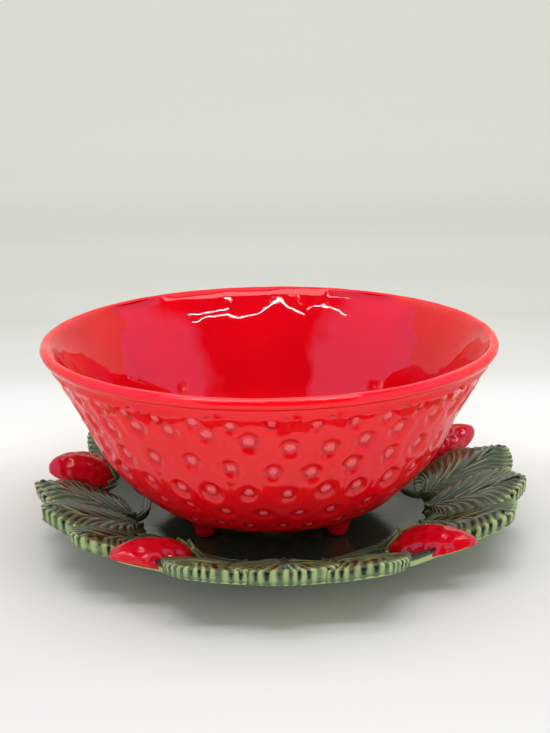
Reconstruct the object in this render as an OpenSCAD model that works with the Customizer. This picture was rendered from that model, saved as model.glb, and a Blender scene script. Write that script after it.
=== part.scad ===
// Berry colander bowl: a pierced earthenware bowl on four small feet, standing on its own drip plate.
// The plate carries leaves, strawberries and vines in relief, each formed by itself and luted on.
// The origin is the middle of the plate's foot ring, on the surface that it stands on.
// +Z is up, and -Y is the front.

/* [Bowl] */
// Outside diameter over the rolled rim
rim_d = 220; // [200:1:236]
// Height of the bowl, from the soles of its feet to the top of its rim
bowl_h = 92; // [84:1:120]
// Thickness of the bowl's wall
bowl_wall = 5; // [4:0.1:6.5]
// Diameter of the rolled bead around the rim
bead_d = 6.8; // [5.5:0.1:9]
// Height of the plain collar below the bead
collar_h = 5.5; // [3:0.1:9]
// How far the collar stands out from the wall below it
collar_step = 1.6; // [0.8:0.1:2.5]
// How far the bowl stands from the middle of the plate, along X
bowl_shift = -4.3; // [-6:0.1:6]

/* [Bowl feet] */
// Diameter of the circle that the feet stand on
feet_circle_d = 90; // [76:1:100]
// Diameter of a foot where it joins the bowl
foot_root_d = 14; // [10:0.5:18]
// Diameter of a foot at its sole
foot_sole_d = 9; // [6:0.5:12]
// Rounding of a foot's sole
foot_round = 1.6; // [0.8:0.1:2.4]

/* [Drain holes] */
// Diameter of a drain hole
hole_d = 6; // [4:0.5:8]
// Diameter of the inner ring of holes
inner_ring_d = 28; // [20:1:34]
// Number of holes in the inner ring
inner_ring_holes = 6; // [4:1:6]
// Diameter of the outer ring of holes
outer_ring_d = 54; // [46:1:58]
// Number of holes in the outer ring
outer_ring_holes = 12; // [8:1:14]

/* [Plate] */
// Room in the flat well around the circle that the bowl's feet stand on
well_margin = 17; // [14:0.5:22]
// Width of the sloping edge, from the well to the leaf tips
flange_w = 60.5; // [54:0.5:68]
// Height of the plate's edge above the well
plate_rise = 23; // [14:0.5:26]
// Thickness of the plate's wall
plate_wall = 5; // [4:0.1:6.5]
// Distance of the foot ring inside the well's edge
foot_ring_inset = 4; // [2:0.5:8]
// Width of the foot ring
foot_ring_w = 6; // [4:0.5:9]
// Height of the foot ring below the plate
foot_ring_h = 3; // [2:0.1:5]
// Depth of the notches between the leaf tips
notch_depth = 9; // [5:0.5:12]

/* [Leaves] */
// Thickness of a leaf in relief
leaf_t = 2.8; // [1.8:0.1:4]
// Height of a leaf's midrib above the leaf
midrib_h = 0.8; // [0.4:0.1:1.5]
// Width of a leaf's midrib
midrib_w = 2.2; // [1.4:0.1:3.2]
// Distance of the leaves' roots from the vines
leaf_root_gap = 1.2; // [0.4:0.1:3]
// How far neighbouring leaves reach over each other
leaf_overlap = 4.5; // [2:0.5:6]
// Width of the teeth along a leaf's edge
tooth_w = 4.2; // [3.4:0.1:6]
// Depth of the teeth
tooth_depth = 1.1; // [0.5:0.1:1.8]
// Setback of the plate's wall below the leaf edge
edge_setback = 1.2; // [0.6:0.1:2.5]

/* [Strawberries] */
// Length of a strawberry
berry_len = 42; // [34:0.5:46]
// Diameter of a strawberry at its widest
berry_d = 25; // [20:0.5:28]
// Depth that a strawberry's middle line lies below the plate's surface
berry_sink = 4.2; // [2:0.1:6]
// Thickness of the leafy cap on a strawberry
calyx_t = 1.6; // [1:0.1:2.4]
// Length of the leafy cap along the strawberry
calyx_len = 15; // [10:0.5:18]
// Number of sepals around the cap
sepals = 10; // [6:1:12]

/* [Vines] */
// Diameter of a vine
vine_d = 4.4; // [3:0.1:5.5]
// Distance of the vines from the well
vine_gap = 1.3; // [0.5:0.1:3]
// Half of the angle that a vine spans
vine_half_angle = 24; // [18:1:26]

/* [Fit] */
// Air gap under the feet of the bowl
stand_gap = 0.3; // [0.2:0.05:0.5]

/* [Hidden] */
$fn = 96;
overrun = 1;
foot_names = ["foot_front_right", "foot_back_right", "foot_back_left", "foot_front_left"];
foot_angles = [-45, 45, 135, 225];
spray_names = ["front", "right", "back_right", "back_left", "left"];
berry_names = ["front_left", "front_right", "right", "back", "left"];
// Directions of the strawberries, and of the three leaves of the spray after each one
berry_angles = [234, 312, 387, 456, 526];
// How far each strawberry is turned from the direction of its radius
berry_turns = [-20, 8, 0, 0, 20];
leaf_angles = [[251, 271, 291], [329, 350, 370], [404, 422, 440], [474, 492, 510], [546, 564, 580]];
leaf_sides = ["near", "middle", "far"];
// How far each leaf reaches, as a share of the plate's radius
leaf_reach_shares = [[0.985, 0.99, 0.985], [1, 0.995, 0.995], [0.99, 1, 0.985], [0.985, 1, 0.99], [0.99, 1, 0.985]];

// Outer wall of the bowl: shares of the rim's radius and of the bowl's height
wall_shares = [
    [0, 0.082], [0.30, 0.084], [0.44, 0.098], [0.545, 0.148], [0.632, 0.238],
    [0.715, 0.350], [0.775, 0.460], [0.850, 0.655], [0.940, 0.862]
];
wall_steps = 4;
// Middle line of a strawberry's side: power of its swell towards the cap, and power of its roundness
berry_swell_share = 0.75;
berry_round_share = 0.5;
berry_steps = 16;
// Distance from the strawberry's middle line at which its cap parts into sepals, as a share of its diameter
sepal_root_share = 0.34;
// A leaf is widest at this share of its length
leaf_widest_share = 0.64;
// Width of its root, and how much of its length the root's rounding takes
leaf_root_share = 0.78;
leaf_root_round_share = 0.2;
// Fullness of its end, and how pointed the tip is
leaf_end_power = 1.8;
leaf_end_share = 0.75;
// A side leaf starts this share of the way from the spray's middle to its own direction
leaf_fan_share = 0.65;
flange_power = 1.3;
flange_steps = 7;

rim_r = rim_d / 2;
bead_r = bead_d / 2;
well_r = feet_circle_d / 2 + well_margin;
plate_r = well_r + flange_w;
foot_ring_r = well_r - foot_ring_inset;
vine_circle_r = well_r + vine_gap + vine_d / 2;
leaf_root_r = vine_circle_r + vine_d / 2 + leaf_root_gap;
well_z = foot_ring_h + plate_wall;
bowl_z = well_z + stand_gap;
rim_z = bowl_z + bowl_h;
form_r = plate_r + berry_d / 2;
berry_in_r = plate_r - berry_len;

red_glaze = "#D4000F";
foot_glaze = "#A8000C";
leaf_glaze = "#4F5F42";
well_glaze = "#2E3A2B";
sepal_glaze = "#7C9160";
vine_glaze = "#5C6E4C";

// A smooth curve through hand-chosen points
function curve_point(a, b, c, d, t) =
    (2 * b + (c - a) * t + (2 * a - 5 * b + 4 * c - d) * t * t + (3 * b - a - 3 * c + d) * t * t * t) / 2;
function curve(points, steps) = concat(
    [for (i = [0:len(points) - 2])
        let (
            a = i > 0 ? points[i - 1] : 2 * points[0] - points[1],
            d = i + 2 < len(points) ? points[i + 2] : 2 * points[i + 1] - points[i]
        )
        for (k = [0:steps - 1]) curve_point(a, points[i], points[i + 1], d, k / steps)],
    [points[len(points) - 1]]
);
// The same curve moved sideways by a distance, to its left
function beside(points, distance) =
    [for (i = [0:len(points) - 1])
        let (
            before = points[max(i - 1, 0)],
            after = points[min(i + 1, len(points) - 1)],
            along = (after - before) / norm(after - before)
        )
        [max(0, points[i].x - distance * along.y), points[i].y + distance * along.x]];
function reversed(points) = [for (i = [len(points) - 1:-1:0]) points[i]];

// Height of the plate's upper surface at a radius
function flange_z(r) =
    well_z + plate_rise * pow(max(0, r - well_r) / (plate_r - well_r), flange_power);
function flange_points(inner_r, lift) =
    [for (i = [0:flange_steps])
        let (r = inner_r + (form_r - inner_r) * i / flange_steps)
        [r, flange_z(r) + lift]];

bowl_outer = curve([for (share = wall_shares) [share.x * rim_r, share.y * bowl_h]], wall_steps);
bowl_inner = beside(bowl_outer, bowl_wall);
wall_top = bowl_outer[len(bowl_outer) - 1];
bead_y = bowl_h - bead_r;
collar_y = bowl_h - bead_d - collar_h;
collar_r = rim_r - bead_r;

// The bowl

module bowl_place() {
    translate([bowl_shift, 0, bowl_z])
        children();
}

module bowl_form() {
    rotate_extrude()
        polygon(concat(bowl_outer, [[0, wall_top.y]]));
}

module drain_ring(ring_d, holes) {
    for (i = [0:holes - 1])
        rotate([0, 0, i * 360 / holes])
            translate([ring_d / 2, 0, 0])
                cylinder(d = hole_d, h = wall_top.y);
}

module bowl_shell() {
    color(red_glaze)
        bowl_place()
            difference() {
                rotate_extrude() {
                    polygon(concat(
                        bowl_outer,
                        [
                            [collar_r - bead_r / 2 - collar_step, collar_y],
                            [collar_r - bead_r / 2, collar_y],
                            [collar_r, bead_y - bead_r],
                            [collar_r + bead_r / 4, bead_y],
                            [rim_r - bead_d, bead_y]
                        ],
                        reversed(bowl_inner)
                    ));
                    translate([rim_r - bead_r, bead_y])
                        circle(r = bead_r);
                }
                cylinder(d = hole_d, h = wall_top.y);
                drain_ring(inner_ring_d, inner_ring_holes);
                drain_ring(outer_ring_d, outer_ring_holes);
            }
}

module bowl_foot(angle) {
    color(foot_glaze)
        bowl_place()
            difference() {
                rotate([0, 0, angle])
                    translate([feet_circle_d / 2, 0, 0])
                        rotate_extrude() {
                            translate([0, foot_round])
                                polygon([
                                    [0, 0], [foot_sole_d / 2, 0],
                                    [foot_root_d / 2, foot_root_d], [0, foot_root_d]
                                ]);
                            square([foot_sole_d / 2 - foot_round, foot_round]);
                            translate([foot_sole_d / 2 - foot_round, foot_round])
                                intersection() {
                                    circle(r = foot_round);
                                    translate([0, -foot_round])
                                        square(foot_round);
                                }
                        }
                bowl_form();
            }
}

// The plate

// A disc at the bottom of the notches, with a round lobe under each leaf tip and strawberry
module plate_outline() {
    circle(r = plate_r - notch_depth);
    for (spray = [0:len(leaf_angles) - 1])
        for (side = [0:2])
            let (
                lobe_r = leaf_half_width(spray) - edge_setback,
                reach = plate_r * leaf_reach_shares[spray][side] - edge_setback
            )
            rotate([0, 0, leaf_angles[spray][side]])
                translate([reach - lobe_r, 0])
                    circle(r = lobe_r);
    for (angle = berry_angles)
        rotate([0, 0, angle])
            translate([plate_r - berry_d / 2 - 3 * edge_setback, 0])
                circle(d = berry_d - edge_setback);
}

module plate_dish() {
    color(well_glaze) {
        intersection() {
            rotate_extrude()
                polygon(concat(
                    [[0, foot_ring_h], [0, well_z]],
                    flange_points(well_r, 0),
                    reversed(flange_points(well_r, -plate_wall))
                ));
            linear_extrude(height = rim_z)
                plate_outline();
        }
        rotate_extrude()
            translate([foot_ring_r - foot_ring_w, 0])
                square([foot_ring_w, foot_ring_h]);
    }
}

// All the space below the plate's upper surface, which what lies on the plate is cut by
module below_plate() {
    rotate_extrude()
        polygon(concat(
            [[0, -berry_d], [0, well_z]],
            flange_points(well_r, 0),
            [[form_r, -berry_d]]
        ));
}

// The strawberries

function berry_side(grow) =
    [for (i = [0:berry_steps])
        let (along_share = i / berry_steps)
        [
            (berry_d / 2 + grow) * pow(max(0, sin(180 * pow(along_share, berry_swell_share))), berry_round_share),
            along_share * (berry_len + 2 * grow) - grow
        ]];

module berry_place(angle) {
    rotate([0, 0, angle])
        translate([plate_r - berry_len / 2, 0, 0])
            rotate([0, 0, berry_turns[search(angle, berry_angles)[0]]])
                translate([-berry_len / 2, 0, flange_z(berry_in_r) - berry_sink])
                    rotate([0, 90 - atan2(flange_z(plate_r) - flange_z(berry_in_r), berry_len), 0])
                        children();
}

module berry_form(angle, grow) {
    berry_place(angle)
        rotate_extrude()
            polygon(berry_side(grow));
}

module strawberry(angle) {
    color(red_glaze)
        difference() {
            berry_form(angle, 0);
            below_plate();
        }
}

// The leafy cap: a skin over the strawberry's inner end, cut into pointed sepals
module calyx(angle) {
    color(sepal_glaze)
        difference() {
            intersection() {
                berry_form(angle, calyx_t);
                berry_place(angle)
                    translate([0, 0, -calyx_t - overrun])
                        linear_extrude(height = calyx_len)
                            polygon([for (i = [0:2 * sepals - 1])
                                let (r = i % 2 == 0 ? berry_d / 2 + calyx_t : berry_d * sepal_root_share)
                                r * [cos(i * 180 / sepals), sin(i * 180 / sepals)]]);
            }
            berry_form(angle, 0);
            below_plate();
        }
}

// The vines: an arc around the well on both sides of a strawberry, with a stalk to its cap
module vine(angle) {
    color(vine_glaze)
        difference() {
            union() {
                translate([0, 0, flange_z(vine_circle_r)])
                    rotate([0, 0, angle - vine_half_angle])
                        rotate_extrude(angle = 2 * vine_half_angle)
                            translate([vine_circle_r, 0])
                                circle(d = vine_d, $fn = 24);
                rotate([0, 0, angle])
                    translate([vine_circle_r, 0, flange_z(vine_circle_r)])
                        rotate([0, 90, 0])
                            cylinder(d = vine_d, h = berry_in_r + calyx_len / 2 - vine_circle_r, $fn = 24);
            }
            below_plate();
            berry_form(angle, calyx_t);
        }
}

// The leaves

function leaf_half_width(spray) =
    plate_r * sin((leaf_angles[spray][2] - leaf_angles[spray][0]) / 4) + leaf_overlap;
function leaf_width_share(along_share) =
    along_share < leaf_widest_share
        ? sqrt(min(1, along_share / leaf_root_round_share))
            * (leaf_root_share + (1 - leaf_root_share) * sin(90 * along_share / leaf_widest_share))
        : pow(
            max(0, 1 - pow((along_share - leaf_widest_share) / (1 - leaf_widest_share), leaf_end_power)),
            leaf_end_share
        );
function leaf_root(spray, side) =
    let (
        middle = leaf_angles[spray][1],
        angle = middle + (leaf_angles[spray][side] - middle) * leaf_fan_share
    )
    leaf_root_r * [cos(angle), sin(angle)];
function leaf_tip(spray, side) =
    plate_r * leaf_reach_shares[spray][side] * [cos(leaf_angles[spray][side]), sin(leaf_angles[spray][side])];

module leaf_outline(spray, side) {
    root = leaf_root(spray, side);
    axis = leaf_tip(spray, side) - root;
    length = norm(axis);
    half_width = leaf_half_width(spray);
    teeth = 2 * floor(length / tooth_w);
    edge = [for (i = [0:teeth])
        let (
            // Even steps around the leaf's end keep its teeth alike
            along_share = sin(90 * i / teeth),
            tooth = i % 2 == 0 ? 0 : tooth_depth
        )
        [along_share * length - tooth * along_share, max(0, leaf_width_share(along_share) * half_width - tooth)]];
    translate(root)
        rotate(atan2(axis.y, axis.x))
            polygon(concat(edge, reversed([for (point = edge) if (point.y > 0) [point.x, -point.y]])));
}

// A skin of even thickness on the plate's upper surface
module skin(thickness) {
    rotate_extrude()
        polygon(concat(
            flange_points(well_r, 0),
            reversed(flange_points(well_r, thickness))
        ));
}

module leaf(spray, side) {
    color(leaf_glaze)
        difference() {
            union() {
                intersection() {
                    skin(leaf_t);
                    linear_extrude(height = rim_z)
                        difference() {
                            leaf_outline(spray, side);
                            if (side != 1)
                                leaf_outline(spray, 1);
                        }
                }
                intersection() {
                    skin(leaf_t + midrib_h);
                    linear_extrude(height = rim_z)
                        difference() {
                            intersection() {
                                leaf_outline(spray, side);
                                leaf_midrib(spray, side);
                            }
                            if (side != 1)
                                leaf_outline(spray, 1);
                        }
                }
            }
            berry_form(berry_angles[spray], calyx_t);
            berry_form(berry_angles[(spray + 1) % len(berry_angles)], calyx_t);
        }
}

module leaf_midrib(spray, side) {
    root = leaf_root(spray, side);
    axis = leaf_tip(spray, side) - root;
    translate(root)
        rotate(atan2(axis.y, axis.x))
            polygon([
                [0, midrib_w / 2], [norm(axis) - tooth_w, 0], [0, -midrib_w / 2]
            ]);
}

bowl_shell();
for (i = [0:len(foot_names) - 1])
    bowl_foot(foot_angles[i]);
plate_dish();
for (i = [0:len(berry_names) - 1]) {
    strawberry(berry_angles[i]);
    calyx(berry_angles[i]);
    vine(berry_angles[i]);
}
for (i = [0:len(spray_names) - 1])
    for (side = [0:2])
        leaf(i, side);
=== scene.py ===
import math

import bmesh
import bpy
import numpy as np
from bpy.props import FloatProperty, FloatVectorProperty, IntProperty, PointerProperty
from mathutils import Matrix, Vector


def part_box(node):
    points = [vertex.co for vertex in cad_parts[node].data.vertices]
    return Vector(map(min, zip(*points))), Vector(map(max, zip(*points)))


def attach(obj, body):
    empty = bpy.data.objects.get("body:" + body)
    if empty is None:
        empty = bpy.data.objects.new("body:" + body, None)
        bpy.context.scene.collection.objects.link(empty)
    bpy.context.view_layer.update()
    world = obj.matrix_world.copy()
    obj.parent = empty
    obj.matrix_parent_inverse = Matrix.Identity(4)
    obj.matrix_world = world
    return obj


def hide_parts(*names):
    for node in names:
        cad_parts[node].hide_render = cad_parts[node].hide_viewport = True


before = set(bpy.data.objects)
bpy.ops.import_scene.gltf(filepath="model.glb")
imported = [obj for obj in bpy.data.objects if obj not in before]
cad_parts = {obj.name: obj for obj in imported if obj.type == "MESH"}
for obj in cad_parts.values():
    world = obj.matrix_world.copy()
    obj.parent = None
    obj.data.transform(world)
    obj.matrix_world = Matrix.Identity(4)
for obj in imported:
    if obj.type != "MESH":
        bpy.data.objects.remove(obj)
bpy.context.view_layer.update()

bl_info = {
    "name": "Berry Colander Bowl",
    "version": (1, 0, 0),
    "blender": (4, 5, 0),
    "location": "3D View > Sidebar > Colander Bowl",
    "description": "Dresses the packed model of a glazed berry colander bowl on its leaf plate",
    "category": "Add Mesh",
}

MM = 0.001
UP = Vector((0, 0, 1))
SHELL_LOW, SHELL_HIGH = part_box("bowl_shell")
RIM_R = (SHELL_HIGH.x - SHELL_LOW.x) / 2
BOWL_X = (SHELL_HIGH.x + SHELL_LOW.x) / 2
RIM_Z = SHELL_HIGH.z

SPRAYS = ("front", "right", "back_right", "back_left", "left")
SIDES = ("near", "middle", "far")
LEAVES = [(spray, side) for spray in range(len(SPRAYS)) for side in range(len(SIDES))]
# Each strawberry's angle on the plate and turn in degrees, its length as a share,
# and how far out and up it sits in mm
BERRIES = {
    "front_left": (234.8, -21, 1, 0, 0), "front_right": (314.4, 10, 1, 0, 0),
    "right": (391.5, -14.5, 1, 5.5, 3.4), "back": (456, 0, 1, 0, 0), "left": (530, 34, .78, 6.6, 7.2),
}
# For each spray, the angles of its three leaves and their reach as a share of the plate's edge
LEAF_ANGLES = ((251, 271, 292), (329, 350, 373.5), (404, 422, 440), (474, 492, 510), (547, 565.5, 582))
LEAF_REACH = ((.985, .985, .985), (.995, .99, .995), (.985, .99, .98), (.98, .99, .985), (.985, .99, .985))
FEET = {"front_right": -45, "back_right": 45, "back_left": 135, "front_left": 225}

# Outer wall of the bowl: shares of the rim's radius and of the bowl's height above its soles
WALL_SHARES = (
    (0, .082), (.30, .084), (.44, .098), (.545, .148), (.632, .238),
    (.715, .350), (.775, .460), (.850, .655), (.951, .888),
)
# Radius of the flat base with its drain holes, and the rows of points on each part of the section
FLOOR_R = 34 * MM
BOWL_ROWS = {"inner": 26, "bead": 17, "outer": 86}
# Drops below the rim between which the seeds fade out, the glaze is painted darker as shade towards the
# base, and its skin stops turning up
SEEDS_END = (78 * MM, 83 * MM)
WALL_SHADE_DROPS = (62 * MM, 86 * MM)
SKIN_ENDS = (90 * MM, 60 * MM)
# Rows of seeds: how many, first angle, drop below the rim in mm, size,
# and the swing of the row in mm with its waves around the bowl and where they start
SEED_ROWS = (
    (38, 1.0, 13.6, .86, 0.0, 0, 0),
    (36, -4.8, 22.8, 1.06, 3.9, 5, 25),
    (32, 0.5, 37.2, 1.00, 2.2, 6, 42),
    (33, -6.0, 50.4, .98, 0.6, 7, 10),
    (29, -2.4, 63.0, .92, 0.5, 4, 60),
    (30, -8.0, 73.6, .76, 0.5, 5, 0),
)
# Unevenness of the thrown wall: waves around, waves per metre along, size in mm and start
INNER_WAVES = ((5, 30, .34, .4), (9, -70, .22, 2.0), (14, 80, .11, 4.4), (24, 60, .05, 1.1))
OUTER_WAVES = ((7, 80, .16, 1.0), (12, -120, .12, 3.0))
RIM_WAVES = ((7, 0, .06, .3), (23, 200, .04, 2.2), (41, 0, .03, .7))
# Where a drop of glaze has pulled a small hook into the collar's lower edge, in degrees from the front
NICKS = (-61, -33, -13, 4.8, 14.8, 33, 52, 88, 131, 170, 214, 262)
NICK_WIDTH = .8
NICK_LIP, NICK_DEPTH = .9 * MM, 1.5 * MM
# Stations around a leaf's section: over its top, around the crimped edge and down its side, and underneath
LEAF_STATIONS = (17, 9, 3)
LEAF_ROUND = 2.1 * MM


# Sizes and colours that a user would change

def size_mm(name, words, mm):
    return FloatProperty(name=name, description=words, default=mm * MM, unit="LENGTH")


def linear(value):
    """An sRGB hex value as the linear colour that the shaders take."""
    channels = [int(value[i:i + 2], 16) / 255 for i in (1, 3, 5)]
    return [c / 12.92 if c <= .04045 else ((c + .055) / 1.055) ** 2.4 for c in channels]


def glaze_colour(name, words, value):
    return FloatVectorProperty(
        name=name, description=words, default=linear(value), size=3, min=0, max=1, subtype="COLOR")


class BowlSizes(bpy.types.PropertyGroup):
    bowl_height: size_mm("Height", "From the soles of the feet to the rim", 92)
    wall: size_mm("Wall", "Thickness of the bowl's wall", 5)
    bead: size_mm("Bead", "Diameter of the rolled rim", 5.4)
    collar: size_mm("Collar", "Height of the plain collar", 4.7)
    collar_step: size_mm("Collar step", "How far the collar stands out", 1.6)
    dimple_width: size_mm("Dimple width", "Width of a dimple", 11.2)
    dimple_height: size_mm("Dimple height", "Height of a dimple", 13.2)
    dimple_depth: size_mm("Dimple depth", "Depth of a dimple", 1.8)
    seed_width: size_mm("Seed width", "Width of a raised seed", 4.8)
    seed_height: size_mm("Seed height", "Height of a raised seed", 5.2)
    seed_rise: size_mm("Seed rise", "How far a seed stands out", 1.55)
    hole: size_mm("Drain hole", "Diameter of a drain hole", 6)
    inner_ring: size_mm("Inner ring", "Diameter of the inner ring of holes", 28)
    outer_ring: size_mm("Outer ring", "Diameter of the outer ring of holes", 54)
    feet_circle: size_mm("Feet circle", "Diameter of the circle of feet", 90)
    steps: IntProperty(
        name="Steps", description="Faces around the bowl", default=640, min=90)


class PlateSizes(bpy.types.PropertyGroup):
    well_r: size_mm("Well", "Radius of the flat well", 62)
    well_z: size_mm("Well height", "Height of the well's surface", 8)
    edge_r: size_mm("Edge", "Radius over the leaf tips", 122.5)
    rise: size_mm("Rise", "Height of the edge above the well", 23)
    wall: size_mm("Wall", "Thickness of the plate's wall", 5)
    ring_r: size_mm("Foot ring", "Outer radius of the foot ring", 58)
    ring_w: size_mm("Foot ring width", "Width of the foot ring", 6)
    ring_h: size_mm("Foot ring height", "Height of the foot ring", 3)
    leaf_t: size_mm("Leaf", "Thickness of a leaf", 2.6)
    crimp: size_mm("Crimp", "Width of a crimp in the leaf's edge", 4.5)
    crimp_depth: size_mm("Crimp depth", "Depth of a crimp", 2.0)
    vein_depth: size_mm("Vein depth", "Depth of the grooves between veins", .9)
    berry_len: size_mm("Berry length", "Length of a strawberry", 46.5)
    berry_d: size_mm("Berry width", "Diameter of a strawberry", 24.4)
    berry_sink: size_mm("Berry sink", "Depth of its middle line in the plate", 5.6)
    vine_d: size_mm("Vine", "Diameter of a vine", 4.6)
    stalk_d: size_mm("Stalk", "Diameter of a strawberry's stalk", 3.8)
    vine_r: size_mm("Vine circle", "Radius of the circle of vines", 68.5)


class GlazeColours(bpy.types.PropertyGroup):
    red: glaze_colour("Red", "The bowl's glaze where it has its full thickness", "#F60618")
    red_pool: glaze_colour("Pooled red", "The red glaze where it lies thick", "#C00010")
    # Painted shade: the near-black red that stands for the shade under the base and in the drain holes
    red_painted_shade: glaze_colour("Dark red", "The red glaze under the base and in the drain holes", "#2A0003")
    # Partly the thin glaze over the seeds, partly a painted highlight on their domes
    red_thin_and_highlight: glaze_colour("Thin red", "The red glaze over the raised seeds", "#F6606A")
    berry: glaze_colour("Berry red", "The strawberries' glaze", "#CC0A1C")
    leaf: glaze_colour("Leaf", "The leaf glaze at its usual thickness", "#4A6442")
    leaf_pool: glaze_colour("Pooled green", "The leaf glaze where it lies thick", "#0B1006")
    leaf_thin: glaze_colour("Thin green", "The leaf glaze on veins and crimps", "#A6B878")
    well: glaze_colour("Well", "The dark green glaze of the well", "#35402F")
    cap: glaze_colour("Cap", "The glaze of the strawberries' leafy caps", "#93A56C")


class StageSettings(bpy.types.PropertyGroup):
    aim: FloatVectorProperty(
        name="Aim", description="The point that the camera looks at",
        default=(-1.66 * MM, 0, 83 * MM), size=3, subtype="XYZ", unit="LENGTH")
    distance: size_mm("Distance", "From the camera to its aim", 580)
    elevation: FloatProperty(
        name="Elevation", description="Camera angle above the level",
        default=math.radians(15.85), unit="ROTATION")
    roll: FloatProperty(
        name="Roll", description="Lean of the camera", default=math.radians(-.66), unit="ROTATION")
    lens: FloatProperty(
        name="Lens", description="Focal length in mm on a 36 mm long side", default=58.2)
    tent: glaze_colour("Tent", "The pale cloth around the object", "#F2F2EE")
    tent_glow: glaze_colour("Tent glow", "The cloth as the glossy glaze mirrors it", "#ECC2FF")


GROUPS = {
    "colander_bowl": BowlSizes, "colander_plate": PlateSizes,
    "colander_glaze": GlazeColours, "colander_stage": StageSettings,
}


# Shape helpers

def smooth_step(low, high, value):
    share = np.clip((value - low) / (high - low), 0, 1)
    return share * share * (3 - 2 * share)


def bell(value, middle, width):
    return np.exp(-((value - middle) / width) ** 2)


def dimple(rho):
    """Depth of a round hollow, 1 in its middle and 0 from its edge on."""
    return np.where(rho < 1, (1 - rho ** 2) ** 2, 0)


def polar(radius, degrees):
    return radius * np.array([math.cos(math.radians(degrees)), math.sin(math.radians(degrees))])


def spline(points, steps):
    """A smooth curve through given points."""
    p = [np.array(point, float) for point in points]
    p = [2 * p[0] - p[1]] + p + [2 * p[-1] - p[-2]]
    out = []
    for a, b, c, d in zip(p, p[1:], p[2:], p[3:]):
        for t in np.arange(steps) / steps:
            out.append((2 * b + (c - a) * t + (2 * a - 5 * b + 4 * c - d) * t ** 2
                        + (3 * b - a - 3 * c + d) * t ** 3) / 2)
    return np.array(out + [p[-2]])


def way_along(line):
    """The way along a line to each of its points."""
    return np.concatenate([[0], np.cumsum(np.hypot(*np.diff(line, axis=0).T))])


def resample(line, count):
    """The same line with evenly spaced points."""
    way = way_along(line)
    where = np.linspace(0, way[-1], count)
    return np.stack([np.interp(where, way, line[:, i]) for i in range(2)], 1)


def left_of(line):
    """The unit vector to the left of a line at each of its points."""
    along = np.gradient(line, axis=0)
    along /= np.linalg.norm(along, axis=1)[:, None]
    return np.stack([-along[:, 1], along[:, 0]], 1)


def points_of(mesh):
    co = np.zeros(len(mesh.vertices) * 3)
    mesh.vertices.foreach_get("co", co)
    return co.reshape(-1, 3)


def put_points(mesh, co):
    mesh.vertices.foreach_set("co", co.reshape(-1))
    mesh.update()


def add_attribute(mesh, name, values):
    layer = mesh.attributes.new(name, "FLOAT", "POINT")
    layer.data.foreach_set("value", np.asarray(values, np.float32))


def new_object(name, mesh, material):
    mesh.polygons.foreach_set("use_smooth", [True] * len(mesh.polygons))
    mesh.materials.append(material)
    mesh.update()
    obj = bpy.data.objects.new(name, mesh)
    bpy.context.scene.collection.objects.link(obj)
    return obj


def finished(bm, name):
    mesh = bpy.data.meshes.new(name)
    bm.to_mesh(mesh)
    bm.free()
    return mesh


def gathered(*meshes):
    bm = bmesh.new()
    for mesh in meshes:
        bm.from_mesh(mesh)
    return bm


def stitched(mesh, distance=.01 * MM):
    """Seams and poles closed, and faces turned outwards."""
    bm = gathered(mesh)
    bmesh.ops.remove_doubles(bm, verts=bm.verts, dist=distance)
    bmesh.ops.dissolve_degenerate(bm, edges=bm.edges, dist=distance / 10)
    bmesh.ops.recalc_face_normals(bm, faces=bm.faces)
    if bm.calc_volume(signed=True) < 0:
        bmesh.ops.reverse_faces(bm, faces=bm.faces)
    bm.to_mesh(mesh)
    bm.free()
    return mesh


def grid_mesh(name, columns, rows):
    """A flat grid, and each vertex's column and row."""
    bm = bmesh.new()
    bmesh.ops.create_grid(bm, x_segments=columns - 1, y_segments=rows - 1, size=.5)
    mesh = finished(bm, name)
    column, row = np.rint((points_of(mesh)[:, :2] + .5) * (columns - 1, rows - 1)).astype(int).T
    return mesh, column, row


def spun_mesh(name, line, steps, centre=(0, 0, 0)):
    """A line of radius and height turned all the way around the upright axis."""
    mesh, column, row = grid_mesh(name, steps + 1, len(line))
    turn = math.tau * (column % steps) / steps
    r, z = np.array(line)[row].T
    put_points(mesh, np.stack([r * np.cos(turn), r * np.sin(turn), z], 1) + centre)
    return stitched(mesh, .001 * MM)


def waves(angle, along, table):
    """Slow hand-made unevenness: whole waves around, waves per metre along, size in mm and start."""
    return sum(size * MM * np.sin(around * angle + per_metre * along + start)
               for around, per_metre, size, start in table)


def claim(obj, body, slot, *nodes):
    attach(obj, body)
    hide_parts(*nodes)


# Materials
# The attribute "glaze" says how thin the glaze lies: 0 pooled, .5 as poured, 1 run off the raised clay
# On the red glaze the attribute also carries painted shade (the inside, the lower wall, the feet, the base
# and the drain holes) and painted highlights on the seeds

GLAZE_IOR = 1.5


def feed(tree, node, inputs):
    """Give each input a value, a socket that drives it, or a node for that node's first output."""
    for key, value in inputs.items():
        if isinstance(value, bpy.types.Node):
            value = value.outputs[0]
        if isinstance(value, bpy.types.NodeSocket):
            tree.links.new(value, node.inputs[key])
        else:
            node.inputs[key].default_value = value


def add_node(tree, kind, inputs=None, **settings):
    """One node with its settings and what drives its inputs."""
    node = tree.nodes.new(kind)
    for key, value in settings.items():
        setattr(node, key, value)
    feed(tree, node, inputs or {})
    return node


def blank_material(name):
    material = bpy.data.materials.new(name)
    material.use_nodes = True
    tree = material.node_tree
    tree.nodes.clear()
    shader = add_node(tree, "ShaderNodeBsdfPrincipled")
    add_node(tree, "ShaderNodeOutputMaterial", {"Surface": shader})
    return material, tree, shader


def set_stops(node, stops):
    """Give a colour ramp its stops, each with its place and colour."""
    node.color_ramp.interpolation = "EASE"
    while len(node.color_ramp.elements) < len(stops):
        node.color_ramp.elements.new(.5)
    for element, (place, colour) in zip(node.color_ramp.elements, stops):
        element.position = place
        element.color = (*colour, 1)
    return node


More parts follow.
